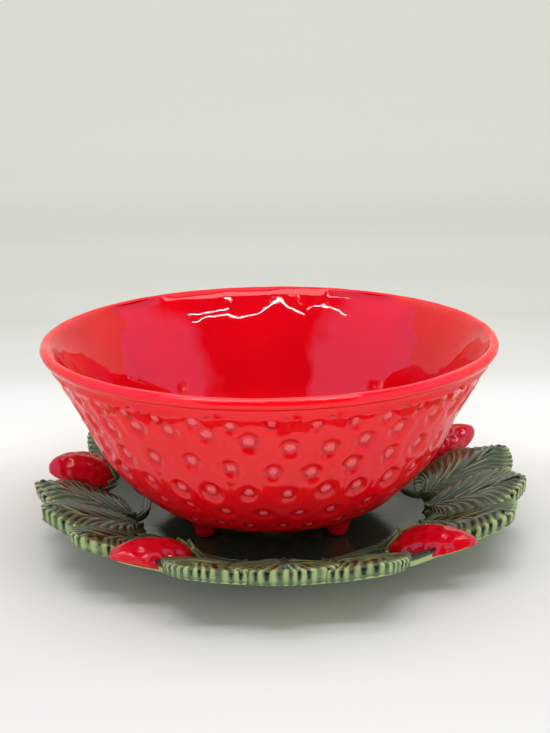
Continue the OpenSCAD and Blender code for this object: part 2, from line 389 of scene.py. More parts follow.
def cloudy_colour(tree, place, grain, detail, roughness, swing, stops):
    """The glaze's colour by how thin it lies and, on the red glaze, by the shade and highlights painted into
    the same attribute; it drifts a little in clouds of a real size.
    """
    cloud = add_node(tree, "ShaderNodeTexNoise", {
        "Vector": place, "Scale": 1 / grain, "Detail": detail, "Roughness": roughness})
    drift = add_node(tree, "ShaderNodeMath", {0: cloud, 1: swing, 2: -swing / 2}, operation="MULTIPLY_ADD")
    depth = add_node(tree, "ShaderNodeAttribute", attribute_name="glaze").outputs["Fac"]
    total = add_node(tree, "ShaderNodeMath", {0: depth, 1: drift}, operation="ADD")
    return set_stops(add_node(tree, "ShaderNodeValToRGB", {"Fac": total}), stops)


def fine_waves(tree, place, width, height, normal):
    """The slight unevenness of a poured glaze, as a bump of a real width and height."""
    noise = add_node(tree, "ShaderNodeTexNoise", {
        "Vector": place, "Scale": 1 / width, "Detail": 1.0, "Roughness": .4})
    return add_node(tree, "ShaderNodeBump", {
        "Height": noise, "Strength": 1.0, "Distance": height, "Normal": normal})


def upright_skin(tree, place):
    """The wall's normal turned up where the glaze ran down and lies thicker towards the base."""
    normal = add_node(tree, "ShaderNodeNewGeometry").outputs["Normal"]
    share = add_node(tree, "ShaderNodeAttribute", attribute_name="skin").outputs["Fac"]
    lift = add_node(tree, "ShaderNodeCombineXYZ", {"Z": share})
    raised = add_node(tree, "ShaderNodeVectorMath", {0: normal, 1: lift}, operation="ADD")
    noise = add_node(tree, "ShaderNodeTexNoise", {
        "Vector": place, "Scale": 1 / (16 * MM), "Detail": 2.0, "Roughness": .45}).outputs["Color"]
    even = add_node(tree, "ShaderNodeVectorMath", {0: noise, 1: (.5, .5, .5)}, operation="SUBTRACT")
    sway = add_node(tree, "ShaderNodeVectorMath", {0: even, "Scale": .20}, operation="SCALE")
    total = add_node(tree, "ShaderNodeVectorMath", {0: raised, 1: sway}, operation="ADD")
    return add_node(tree, "ShaderNodeVectorMath", {0: total}, operation="NORMALIZE")


def level_skin(tree, place):
    """The normal leaning out by the attribute's share, where the glaze ran down the slope and levelled."""
    normal = add_node(tree, "ShaderNodeNewGeometry").outputs["Normal"]
    flat = add_node(tree, "ShaderNodeVectorMath", {0: place, 1: (1, 1, 0)}, operation="MULTIPLY")
    outward = add_node(tree, "ShaderNodeVectorMath", {0: flat}, operation="NORMALIZE")
    share = add_node(tree, "ShaderNodeAttribute", attribute_name="level").outputs["Fac"]
    lean = add_node(tree, "ShaderNodeVectorMath", {0: outward, "Scale": share}, operation="SCALE")
    total = add_node(tree, "ShaderNodeVectorMath", {0: normal, 1: lean}, operation="ADD")
    return add_node(tree, "ShaderNodeVectorMath", {0: total}, operation="NORMALIZE")


def red_glaze(name, full, pool, thin, painted_shade):
    # Red glaze poured over white earthenware: a glassy skin, darker where it pools in the hollows,
    # and lighter where it runs thin over raised clay, with a highlight painted on the seeds.
    # Its darkest stop is painted shade for the base and the drain holes
    _, tree, shader = blank_material(name)
    place = add_node(tree, "ShaderNodeTexCoord").outputs["Object"]
    stops = [(0, painted_shade), (.14, pool), (.5, full), (.62, full), (1, thin)]
    # The glossy skin has its own slope, and the clay under it keeps the wall's
    feed(tree, shader, {
        "Base Color": cloudy_colour(tree, place, 28 * MM, 2.0, .5, .16, stops),
        "Roughness": .045, "IOR": GLAZE_IOR, "Specular IOR Level": 0,
        "Coat Weight": 1, "Coat Roughness": .04, "Coat IOR": GLAZE_IOR,
        "Coat Normal": fine_waves(tree, place, 9 * MM, .05 * MM, upright_skin(tree, place))})


def green_glaze(name, full, pool, thin, grain):
    # Translucent green glaze over white relief: it runs off the ridges, which stay pale,
    # and pools nearly black in the grooves
    _, tree, shader = blank_material(name)
    place = add_node(tree, "ShaderNodeTexCoord").outputs["Object"]
    stops = [(.20, pool), (.45, full), (.58, full), (.86, thin)]
    feed(tree, shader, {
        "Base Color": cloudy_colour(tree, place, grain, 3.0, .6, .3, stops),
        "Roughness": .15, "IOR": GLAZE_IOR,
        "Normal": fine_waves(tree, place, 5 * MM, .06 * MM, level_skin(tree, place))})


GLAZES = {
    "bowl": "Red glaze, poured", "berry": "Red glaze, brushed on relief",
    "leaf": "Green glaze, pooled on relief", "cap": "Green glaze, thin on caps",
    "well": "Green glaze, poured in the well",
}


def glaze_of(kind):
    """The material of a kind of piece. All of them are made at the first call."""
    c = bpy.context.scene.colander_glaze
    if GLAZES["bowl"] not in bpy.data.materials:
        red_glaze(GLAZES["bowl"], c.red, c.red_pool, c.red_thin_and_highlight, c.red_painted_shade)
        red_glaze(GLAZES["berry"], c.berry, c.red_pool, c.red_thin_and_highlight, c.red_painted_shade)
        green_glaze(GLAZES["leaf"], c.leaf, c.leaf_pool, c.leaf_thin, 7 * MM)
        green_glaze(GLAZES["cap"], c.leaf, c.leaf_pool, c.cap, 5 * MM)
        green_glaze(GLAZES["well"], c.well, c.leaf_pool, c.leaf_thin, 30 * MM)
    return bpy.data.materials[GLAZES[kind]]


# The bowl

def wall_line(sizes):
    """Outer wall from the base to the collar, as radius and height above the plate's foot."""
    base = RIM_Z - sizes.bowl_height
    return spline([(r * RIM_R, base + z * sizes.bowl_height) for r, z in WALL_SHARES], 12)


def outer_height(sizes, radius):
    line = wall_line(sizes)
    return np.interp(radius, line[:, 0], line[:, 1])


def bowl_profile(sizes):
    """The bowl's section from its inner floor over the rim to its underside, with the part of each point."""
    line = wall_line(sizes)
    line = line[line[:, 0] > FLOOR_R]
    base_z = outer_height(sizes, FLOOR_R)
    outer = resample(np.vstack([[FLOOR_R, base_z], line]), BOWL_ROWS["outer"])
    inside = np.vstack([[FLOOR_R, base_z], line])
    inside += sizes.wall * left_of(inside)
    inside[0] = (FLOOR_R, base_z + sizes.wall)
    bead_r = sizes.bead / 2
    bead_c = np.array([RIM_R - bead_r, RIM_Z - bead_r])
    inside = inside[inside[:, 1] < bead_c[1] - 2.6 * bead_r]
    meet = math.radians(140)
    bead_in = bead_c + bead_r * np.array([math.cos(meet), math.sin(meet)])
    before = bead_in - 1.6 * bead_r * np.array([math.sin(meet) * .78, -math.cos(meet) * 1.1])
    inner = resample(spline(np.vstack([inside[::8], [before, bead_in]]), 8), BOWL_ROWS["inner"])
    turn = np.radians(np.linspace(136, -62, BOWL_ROWS["bead"]))
    bead = bead_c + bead_r * np.stack([np.cos(turn), np.sin(turn)], 1)
    ledge_z = RIM_Z - sizes.bead - sizes.collar
    top = outer[-1]
    step = sizes.collar_step
    collar = spline([
        (bead_c[0] + .1 * step, RIM_Z - sizes.bead - .05 * step),
        (bead_c[0] - .35 * step, RIM_Z - sizes.bead - .3 * sizes.collar),
        (top[0] + 1.0 * step, ledge_z + .25 * sizes.collar),
        (top[0] + .85 * step, ledge_z + .06 * sizes.collar),
        (top[0] + .35 * step, ledge_z - .02 * sizes.collar),
        (top[0] - .12 * step, ledge_z - .04 * sizes.collar),
    ], 2)
    parts = ["inner"] * len(inner) + ["bead"] * len(bead) + ["collar"] * len(collar) + ["outer"] * len(outer)
    return np.vstack([inner, bead, collar, outer[::-1]]), np.array(parts)


def seed_relief(sizes, angle, arc, arc_of_drop, radius):
    """Depth of the dimples and height of the seeds, with how thin the glaze runs there and the highlight
    painted on the seeds and the dimples' lips.
    """
    rng = np.random.default_rng(5)
    relief = np.zeros(len(angle))
    glaze = np.full(len(angle), .5)
    for count, first, drop, size, swing, around, start in SEED_ROWS:
        step = 360 / count
        shift = rng.normal(0, [.5, .45 * MM, .05, 9], (count, 4))
        index = np.rint((angle - first) / step).astype(int)
        nearest = index % count
        seed_angle = first + index * step + shift[nearest, 0]
        seed_drop = drop + swing * np.sin(np.radians(around * seed_angle + start))
        across = np.radians(angle - seed_angle) * radius
        along = arc - arc_of_drop(seed_drop * MM + shift[nearest, 1])
        scale = size * (1 + shift[nearest, 2])
        lean = np.radians(shift[nearest, 3])
        wide = across * np.cos(lean) + along * np.sin(lean)
        tall = along * np.cos(lean) - across * np.sin(lean)
        rho = np.hypot(wide / (scale * sizes.dimple_width / 2), tall / (scale * sizes.dimple_height / 2))
        hollow = dimple(rho)
        lip = bell(rho, 1.14, .24)
        low = tall + .25 * MM
        core = np.hypot(wide / (scale * sizes.seed_width / 2), low / (scale * sizes.seed_height / 2))
        seed = np.where(core < 1, np.sqrt(np.clip(1 - core ** 2, 0, 1)), 0)
        moat = bell(core, 1.25, .3)
        relief += scale * (.3 * MM * lip - sizes.dimple_depth * hollow - .2 * MM * moat)
        relief += scale * sizes.seed_rise * seed
        # The seeds and the dimples' lips are lighter partly from thinner glaze and partly as a painted
        # highlight; the hollows pool darker
        glaze += .5 * smooth_step(.1, .6, seed) - .4 * np.where(core > 1, hollow, 0) + .07 * lip
    return relief, np.clip(glaze, 0, 1)


def hole_places(sizes):
    rings = [(0, 1), (sizes.inner_ring / 2, 6), (sizes.outer_ring / 2, 12)]
    turned = [(r, math.tau * i / n) for r, n in rings for i in range(n)]
    return [(r * math.cos(turn), r * math.sin(turn)) for r, turn in turned]


class COLANDER_OT_bowl(bpy.types.Operator):
    """Build the bowl with its rim, collar, seeds and pierced base"""
    bl_idname = "colander.bowl"
    bl_label = "Bowl"

    def execute(self, context):
        sizes = context.scene.colander_bowl
        line, parts = bowl_profile(sizes)
        mesh = spun_mesh("bowl", line, sizes.steps, (BOWL_X, 0, 0))
        co = points_of(mesh)
        local = co - (BOWL_X, 0, 0)
        radius = np.hypot(local[:, 0], local[:, 1])
        angle = np.degrees(np.arctan2(local[:, 0], -local[:, 1]))
        turn = np.radians(angle)
        deep = RIM_Z - local[:, 2]
        # The point of the section that each vertex was turned from
        section = np.stack([radius, local[:, 2]], 1)
        row = np.zeros(len(co), int)
        for part in np.array_split(np.arange(len(co)), 40):
            row[part] = np.abs(section[part, None] - line).sum(2).argmin(1)
        normal = left_of(line)[row]
        inner, bead, collar, outer = ((parts == part)[row] for part in ("inner", "bead", "collar", "outer"))
        arcs = way_along(line)
        arc = arcs[row]
        drops, outer_arcs = RIM_Z - line[parts == "outer", 1], arcs[parts == "outer"]
        ledge = outer_arcs[0]

        def arc_of_drop(drop):
            return np.interp(drop, drops, outer_arcs)

        # The seeds stop under the collar and above the base
        relief, glaze = seed_relief(sizes, angle, arc, arc_of_drop, radius)
        share = np.where(outer, smooth_step(ledge - .2 * MM, ledge + 1.4 * MM, arc), 0)
        share *= 1 - smooth_step(*SEEDS_END, deep)
        relief *= share
        glaze = .5 + (glaze - .5) * share
        # The thrown wall is slightly uneven inside and out, and its edge is wiped by hand
        relief += inner * smooth_step(FLOOR_R, FLOOR_R + 12 * MM, radius) * waves(turn, arc, INNER_WAVES)
        relief += outer * share * waves(turn, arc, OUTER_WAVES)
        rim = bead | collar
        relief += rim * waves(turn, arc, RIM_WAVES) - .12 * rim * MM
        # Small hooks in the lower part of the collar
        dent = smooth_step(ledge - 4.2 * MM, ledge - 1.2 * MM, arc)
        for nick in NICKS:
            off = (angle - nick + 180) % 360 - 180 - .25 * (arc - ledge) / MM
            hook = bell(off, 0, NICK_WIDTH)
            relief += collar * dent * (NICK_LIP * bell(off, 1.5, NICK_WIDTH) - NICK_DEPTH * hook)
            glaze -= collar * .4 * dent * hook
        co[:, 0] += relief * normal[:, 0] * local[:, 0] / radius
        co[:, 1] += relief * normal[:, 0] * local[:, 1] / radius
        co[:, 2] = np.minimum(co[:, 2] + relief * normal[:, 1], RIM_Z)
        # Painted shade: the glaze darkens towards the base, and the whole inside is painted darker than the
        # outside to offset the light that bounces inside the bowl
        low = smooth_step(*WALL_SHADE_DROPS, deep)
        glaze -= np.where(inner, .20 + .05 * low, .12 * low)
        put_points(mesh, co)
        add_attribute(mesh, "glaze", glaze)
        # The glossy skin turns up on the upper wall, and ends higher on the right
        run = deep + 18 * MM * smooth_step(20, 60, angle)
        skin = .3 * (collar | outer) * smooth_step(*SKIN_ENDS, run)
        # Under the collar the glaze hangs in a thick uneven roll that faces down
        roll = 5 + 2.2 * np.sin(9 * turn + .6) + 1.6 * np.sin(23 * turn) + .9 * np.sin(47 * turn)
        roll = ledge + roll * MM
        skin -= .62 * outer * smooth_step(roll + .6 * MM, roll - .6 * MM, arc)
        skin += inner * (.12 * smooth_step(20, 5, deep / MM) - .14 * smooth_step(30, 46, deep / MM))
        add_attribute(mesh, "skin", skin)
        self.pierce(mesh, sizes, line)
        bowl = new_object("bowl", mesh, glaze_of("bowl"))
        claim(bowl, "bowl", "bowl_glaze", "bowl_shell")
        return {"FINISHED"}

    def pierce(self, mesh, sizes, line):
        """Close the base above and below around the drain holes, and line each hole."""
        base = bmesh.new()
        lip = .8 * MM
        top, bottom = line[0, 1], line[-1, 1]
        hole_r = sizes.hole / 2
        turn = np.radians(np.linspace(0, 90, 4))
        edge = [(hole_r + lip * (1 - math.cos(a)), top - lip + lip * math.sin(a)) for a in turn][::-1]
        edge += [(r, top + bottom - z) for r, z in edge[::-1]]
        for x, y in hole_places(sizes):
            verts = [base.verts.new((BOWL_X + x + r, y, z)) for r, z in edge]
            edges = [base.edges.new(pair) for pair in zip(verts, verts[1:])]
            bmesh.ops.spin(base, geom=verts + edges, cent=(BOWL_X + x, y, 0), axis=UP,
                           angle=math.tau, steps=24, use_merge=True)
        for z in (top, bottom):
            bmesh.ops.create_circle(base, segments=sizes.steps, radius=FLOOR_R,
                                    matrix=Matrix.Translation((BOWL_X, 0, z)))
        bmesh.ops.remove_doubles(base, verts=base.verts, dist=.001 * MM)
        for z in (top, bottom):
            level = [e for e in base.edges if all(abs(v.co.z - z) < .01 * MM for v in e.verts)]
            rim = [e for e in level if len(e.link_faces) < 2]
            bmesh.ops.triangle_fill(base, use_beauty=True, use_dissolve=False, edges=rim)
        part = finished(base, "base")
        high = points_of(part)[:, 2]
        # Painted shade: near-black red in the drain holes, and dark red on the base's top and underside
        glaze = .06 + .19 * smooth_step(top - lip, top, high) + .12 * smooth_step(bottom + lip, bottom, high)
        add_attribute(part, "glaze", glaze)
        add_attribute(part, "skin", np.zeros(len(part.vertices)))
        bm = gathered(mesh, part)
        bpy.data.meshes.remove(part)
        bmesh.ops.remove_doubles(bm, verts=bm.verts, dist=.02 * MM)
        bmesh.ops.recalc_face_normals(bm, faces=bm.faces)
        if any(not e.is_manifold for e in bm.edges):
            raise RuntimeError("the pierced base isn't closed")
        bm.to_mesh(mesh)
        bm.free()


class COLANDER_OT_feet(bpy.types.Operator):
    """Build the four feet, luted to the bowl with a soft fillet"""
    bl_idname = "colander.feet"
    bl_label = "Feet"

    def execute(self, context):
        sizes = context.scene.colander_bowl
        sole_z = RIM_Z - sizes.bowl_height
        # Radius, height above the sole and depth below the bowl's underside, in mm, and how far
        # each ring follows the bowl
        rings = (
            (0.0, 0, 0, 0), (2.4, 0, 0, 0), (3.6, .25, 0, 0), (4.4, .9, 0, 0), (4.9, 1.8, 0, 0),
            (5.3, 3.0, 0, .1), (5.8, 4.2, 3.2, .5), (6.6, 0, 2.2, 1), (7.6, 0, 1.35, 1), (9.0, 0, .7, 1),
            (10.8, 0, .2, 1), (12.8, 0, -.35, 1), (11.0, 0, -2.0, 1), (0.0, 0, -2.2, 1),
        )
        for name, degrees in FEET.items():
            at_x, at_y = polar(sizes.feet_circle / 2, degrees)
            mesh = spun_mesh("foot_" + name, [(r * MM, i * MM) for i, (r, *_) in enumerate(rings)], 40)
            co = points_of(mesh)
            index = np.rint(co[:, 2] / MM).astype(int)
            up, below, follow = np.array(rings)[index, 1:].T
            x, y = co[:, 0] + BOWL_X + at_x, co[:, 1] + at_y
            under = outer_height(sizes, np.hypot(x - BOWL_X, y)) - below * MM
            z = (1 - follow) * (sole_z + up * MM) + follow * under
            put_points(mesh, np.stack([x, y, z], 1))
            # Painted shade: the feet are darker than the poured glaze, and darker still towards the soles on
            # the plate
            add_attribute(mesh, "glaze", .34 - .12 * smooth_step(3 * MM, 0, z - sole_z))
            foot = new_object("foot_" + name, stitched(mesh), glaze_of("bowl"))
            claim(foot, "bowl", "bowl_glaze", "bowl_foot_" + name)
        return {"FINISHED"}


# The plate

def slope_z(plate, radius):
    """Height of the plate's surface at a radius."""
    out = np.maximum(0, np.asarray(radius) - plate.well_r)
    return plate.well_z + plate.rise * (out / (plate.edge_r - plate.well_r)) ** 1.3


def leaf_axis(plate, spray, side):
    """Root, tip and half width of a leaf."""
    angles = LEAF_ANGLES[spray]
    fanned = angles[1] + (angles[side] - angles[1]) * .65
    root = polar(plate.vine_r + 4 * MM, fanned)
    tip = polar(plate.edge_r * LEAF_REACH[spray][side], angles[side])
    half = plate.edge_r * math.sin(math.radians(angles[2] - angles[0]) / 4) + 2.0 * MM
    return root, tip, half


def leaf_margin(count):
    """Half of a leaf's outline as shares of its length and half width, evenly spaced."""
    t = np.linspace(0, 1, 400)
    s = np.sin(t * math.pi / 2)
    base = np.sqrt(np.minimum(1, s / .2)) * (.78 + .22 * np.sin(math.pi / 2 * s / .64))
    end = np.clip(1 - (np.clip(s - .64, 0, 1) / .36) ** 1.55, 0, 1) ** .8
    line = np.stack([s * 2, np.where(s < .64, base, end)], 1)
    line[0, 1] = 0
    return resample(line, count) * (.5, 1)


def pinched(rng, hand, around, count):
    """Crimps pinched by hand, no two alike: how many lie before each vertex, and how deep they are there."""
    beat, uneven = np.zeros(len(hand)), np.zeros(len(hand))
    for half_leaf in (-1, 1):
        on = hand == half_leaf
        marks = np.concatenate([[0], np.cumsum(rng.uniform(.65, 1.35, count))])
        beat[on] = np.interp(around[on] * marks[-1], marks, np.arange(count + 1)) * (count + .5) / count
        strength = rng.uniform(.35, 1.1, count + 2)
        strength[[0, -2, -1]] = .7
        uneven[on] = np.interp(beat[on], np.arange(count + 2), strength)
    return beat, uneven


def outline_radius(plate, degrees):
    """How far the leaves and strawberries reach in each direction."""
    share = np.linspace(0, 1, 600)
    margin = leaf_margin(600)
    reach = np.full(720, plate.edge_r - 16 * MM)
    for hand in (-1, 1):
        lines = []
        for spray, side in LEAVES:
            root, tip, half = leaf_axis(plate, spray, side)
            length = np.linalg.norm(tip - root)
            along = (tip - root) / length
            lines.append(root + np.outer(margin[:, 0] * length, along)
                         + np.outer(hand * margin[:, 1] * half, (-along[1], along[0])))
        for name in BERRIES:
            flank = hand * np.maximum(berry_radius(plate, share) - 2 * MM, 0)
            line = np.column_stack([share * 0, flank, share * (plate.berry_len - 2 * MM)])
            lines.append(move(line, berry_matrix(plate, name))[:, :2])
        for x, y in (line.T for line in lines):
            where = np.floor(np.degrees(np.arctan2(y, x)) % 360 * 2).astype(int) % 720
            np.maximum.at(reach, where, np.hypot(x, y))
    return np.interp(degrees % 360, np.arange(720) / 2 + .25, reach, period=360)


class COLANDER_OT_plate(bpy.types.Operator):
    """Build the plate's well, sloping edge and foot ring"""
    bl_idname = "colander.plate"
    bl_label = "Plate"

    def execute(self, context):
        plate = context.scene.colander_plate
        edge_in = plate.edge_r - 22 * MM
        radii = np.concatenate([
            np.linspace(0, plate.well_r - 4 * MM, 8),
            plate.well_r + np.linspace(-2.5, 8, 8) * MM,
            np.linspace(plate.well_r + 12 * MM, edge_in, 8),
            np.linspace(edge_in + 2 * MM, plate.edge_r - 1.2 * MM, 9),
        ])
        top = np.stack([radii, slope_z(plate, radii)], 1)
        turn = np.radians(np.linspace(90, -90, 13))
        half = plate.wall / 2
        end = np.array([plate.edge_r, slope_z(plate, plate.edge_r) - half])
        lip = end + np.stack([1.2 * MM * np.abs(np.cos(turn)) ** .5, half * np.sin(turn)], 1)
        low_radii = radii[radii > plate.ring_r + 2 * MM][::-1]
        low = np.stack([low_radii, slope_z(plate, low_radii) - plate.wall], 1)
        ring_in = plate.ring_r - plate.ring_w
        foot = spline([
            (plate.ring_r + 1.5 * MM, plate.ring_h), (plate.ring_r - .2 * MM, plate.ring_h * .55),
            (plate.ring_r - .8 * MM, .15 * MM), (plate.ring_r - 1.8 * MM, 0), (ring_in + 1.8 * MM, 0),
            (ring_in + .8 * MM, .15 * MM), (ring_in + .2 * MM, plate.ring_h * .55),
            (ring_in - 1.5 * MM, plate.ring_h), (ring_in - 6 * MM, plate.ring_h), (0, plate.ring_h),
        ], 3)
        foot[-1, 0] = 0
        foot[:, 1] = np.maximum(foot[:, 1], 0)
        line = np.vstack([top, lip, low, foot])
        mesh = spun_mesh("plate", line, 720)
        co = points_of(mesh)
        radius = np.hypot(co[:, 0], co[:, 1])
        degrees = np.degrees(np.arctan2(co[:, 1], co[:, 0]))
        reach = outline_radius(plate, degrees) - 1.5 * MM
        out = np.clip((radius - edge_in) / (plate.edge_r - edge_in), 0, None)
        moved = np.where(out > 0, edge_in + out * (reach - edge_in), radius)
        depth = slope_z(plate, radius) - co[:, 2]
        z = slope_z(plate, moved) - depth
        z = np.where(radius > plate.ring_r + 1 * MM, z, co[:, 2])
        safe = np.maximum(radius, 1e-9)
        co[:, 0] *= moved / safe
        co[:, 1] *= moved / safe
        co[:, 2] = z
        share = depth / plate.wall
        glaze = .5 + .45 * smooth_step(.35, .75, share) * smooth_step(.91, .99, out)
        glaze -= .3 * smooth_step(.5, .1, share) * smooth_step(.75, .94, out)
        glaze += .2 * smooth_step(.8, 1, share) * (out <= .91)
        put_points(mesh, co)
        add_attribute(mesh, "glaze", glaze)
        obj = new_object("plate", stitched(mesh), glaze_of("well"))
        claim(obj, "plate", "well_glaze", "plate_dish")
        return {"FINISHED"}


class COLANDER_OT_leaves(bpy.types.Operator):
    """Build the fifteen leaves with their veins and crimped edges"""
    bl_idname = "colander.leaves"
    bl_label = "Leaves"

    def execute(self, context):
        plate = context.scene.colander_plate
        for spray, side in LEAVES:
            self.leaf(plate, spray, side)
        return {"FINISHED"}

    def leaf(self, plate, spray, side):
        root, tip, half = leaf_axis(plate, spray, side)
        length = np.linalg.norm(tip - root)
        along = (tip - root) / length
        across = np.array([-along[1], along[0]])
        fine = leaf_margin(400) * (length, half)
        crimps = int(round(way_along(fine)[-1] / plate.crimp))
        columns = crimps * 9 + 1
        edge = resample(fine, columns)
        u = np.linspace(0, 1, columns)
        # Where each vein leaves the midrib
        start = np.stack([length * .8 * u ** 3.4, np.zeros(columns)], 1)
        outward = left_of(edge)
        outward[0], outward[-1] = (-1, 0), (1, 0)
        # The stations go over the top, each at its share of the way from the midrib (0) to the edge (1),
        # then around the crimped edge and down its side, and back underneath
        flank, wrap, under = LEAF_STATIONS
        rows = flank + wrap + under
        shares = np.concatenate([np.linspace(0, .84, flank - 5), np.linspace(.88, 1, 5)])
        name = "%s_%s" % (SPRAYS[spray], SIDES[side])
        mesh, n, station = grid_mesh("leaflet_" + name, columns, 2 * rows)
        hand = np.where(station < rows, 1, -1)
        place = np.where(station < rows, station, 2 * rows - 1 - station)
        around = u[n]
        rng = np.random.default_rng(spray * 3 + side)
        phase = rng.uniform(0, math.tau, 8)
        lift = plate.leaf_t + (1.1 * MM if side == 1 else -.2 * MM)
        edge_in = edge - outward * LEAF_ROUND
        edge_in[0] = (LEAF_ROUND * .3, 0)
        edge_in[-1] = (length - LEAF_ROUND, 0)
        out = shares[np.minimum(place, flank - 1)]
        # Each vein runs from the midrib at a to the edge at b, in a curve that leans to the tip
        a, b = start[n], edge_in[n]
        reach = np.linalg.norm(b - a, axis=1)
        bend = (a + b) / 2 + np.stack([.24 * reach, -.10 * reach], 1)
        t = out[:, None]
        flat = a * (1 - t) ** 2 + bend * (2 * t * (1 - t)) + b * t ** 2
        live = around * (1 - around) * 4
        from_rib = out * reach
        # A vein runs to each pair of crimps and forks on its way
        beat, uneven = pinched(rng, hand, around, crimps)
        fork = smooth_step(.45, .75, out + .12 * np.sin(3 * beat + phase[0]))
        sway = .25 * live * np.sin(4 * out + phase[1] * hand)
        vein = (1 - fork) * np.sin(math.pi / 2 * (beat + sway)) ** 6
        vein += .8 * fork * np.sin(math.pi * beat) ** 4
        near_edge = smooth_step(.82, .97, out)
        ridge = 2 * np.abs(np.sin(math.pi * beat)) ** .9 - 1
        grown = smooth_step(.05, .30, around)
        depth = plate.vein_depth * smooth_step(.6 * MM, 4.5 * MM, from_rib)
        depth *= .85 + .3 * np.sin(around * 9 + phase[1])
        depth *= .35 + .65 * grown
        height = lift + .9 * MM * np.sin(math.pi * out) ** .8 - .5 * MM
        ground = root[:, None] + np.outer(along, edge[n, 0]) + np.outer(across, hand * edge[n, 1])
        # The edge is thick and boldly crimped along the plate's rim alone
        outer = smooth_step(104 * MM, 112 * MM, np.hypot(*ground))
        bold = (.3 + .7 * outer) * (.2 + .8 * grown)
        height += .8 * depth * (1 - near_edge) * vein * uneven + .5 * MM * near_edge * ridge * uneven * bold
        height -= 1.3 * MM * smooth_step(.6, 1, out) * outer
        rib = bell(from_rib, 0, 1.2 * MM) * (1 - .5 * around)
        height += 1.0 * MM * rib - .4 * MM * bell(from_rib, 2.7 * MM, 1.1 * MM)
        height += smooth_step(1, .96, around) * waves(
            around * math.pi, out * hand, ((2, 2.5, .3, phase[2]), (3, -4, .22, phase[3])))
        glaze = .40 + .60 * (vein * uneven - .25) * (1 - near_edge) * smooth_step(.3 * MM, 3 * MM, from_rib)
        glaze += near_edge * (.16 * outer + .20 * ridge * uneven * bold) + .12 * rib
        # Around the edge: k counts the stations from the flank on
        k = place - (flank - 1)
        drop = (1 - outer) * (lift + .6 * MM) + outer * (plate.wall + lift - 1.3 * MM)
        round_steps = 4
        angle = np.clip(k / round_steps, 0, 1) * math.pi / 2
        down_share = np.clip((k - round_steps) / (wrap - 2 - round_steps), 0, 1)
        over = k > 0
        tuck = np.clip(k - (wrap - 2), 0, 2)
        side_out = LEAF_ROUND * np.sin(angle)
        side_down = LEAF_ROUND * (1 - np.cos(angle))
        side_down += down_share * np.maximum(drop - LEAF_ROUND - .6 * MM, .2 * MM)
        fade = 1 - smooth_step(0, .5, down_share)
        crimp = .5 * plate.crimp_depth * ridge * uneven * fade * bold * smooth_step(1, .985, around)
        push = side_out + crimp * np.sin(angle) ** .5 - tuck * .8 * MM
        push = np.where(over, push, 0)
        flat = np.where(over[:, None], b + outward[n] * push[:, None], flat)
        height = np.where(over, height - side_down - tuck * .2 * MM, height)
        below = place >= flank + wrap
        back = np.clip((place - (flank + wrap) + 1) / under, 0, 1)
        under_xy = np.where((back < 1)[:, None], b + (a - b) * (back * .52)[:, None], a)
        flat = np.where(below[:, None], under_xy, flat)
        # Painted shadow in the pits between the crimps, halfway down the edge
        crimp_shadow_band = smooth_step(1.0, 2.6, k) * smooth_step(.7, .2, down_share) * smooth_step(.5, .95, uneven)
        dark = smooth_step(-.5, .3, -ridge - .6 * down_share) * crimp_shadow_band
        light = np.clip(ridge, 0, 1)
        edge_glaze = .64 + .16 * light - .78 * dark - .10 * smooth_step(.5, 1, down_share)
        glaze = np.where(over, outer * edge_glaze + (1 - outer) * (.34 + .2 * ridge * uneven * bold), glaze)
        flat[:, 1] *= np.where((n == 0) | (n == columns - 1), 0, 1)
        xy = root + np.outer(flat[:, 0], along) + np.outer(hand * flat[:, 1], across)
        r = np.hypot(*xy.T)
        z = slope_z(plate, r) + height
        z = np.where(below, slope_z(plate, r) - 1.6 * MM, z)
        z = np.where((n == 0) & ~below, slope_z(plate, r) + lift * .4 * (place < flank), z)
        put_points(mesh, np.column_stack([xy, z]))
        add_attribute(mesh, "glaze", np.clip(glaze, 0, 1))
        add_attribute(mesh, "level", .36 * (1 - smooth_step(0, 3, k)))
        obj = new_object("leaflet_" + name, stitched(mesh, .001 * MM), glaze_of("leaf"))
        claim(obj, "plate", "leaf_glaze", "leaf_" + name)


# The strawberries on the plate

def berry_matrix(plate, name):
    """Lays a strawberry on the plate from where it is built: upright, its cap end at the origin."""
    inner = plate.edge_r - plate.berry_len
    low, high = slope_z(plate, inner), slope_z(plate, plate.edge_r) + 2.5 * MM
    tilt = math.pi / 2 - math.atan2(high - low, plate.berry_len)
    degrees, turn, share, out, up = BERRIES[name]
    return (Matrix.Rotation(math.radians(degrees), 4, "Z")
            @ Matrix.Translation((plate.edge_r - plate.berry_len / 2 + out * MM, 0, up * MM))
            @ Matrix.Rotation(math.radians(turn), 4, "Z")
            @ Matrix.Translation((-share * plate.berry_len / 2, 0, low - plate.berry_sink))
            @ Matrix.Rotation(tilt, 4, "Y")
            @ Matrix.Diagonal((1, 1, share, 1)))


def berry_radius(plate, share):
    return plate.berry_d / 2 * np.clip(np.sin(math.pi * np.clip(share, 0, 1) ** .75), 0, 1) ** .5


def move(co, matrix):
    m = np.array(matrix)
    return co @ m[:3, :3].T + m[:3, 3]


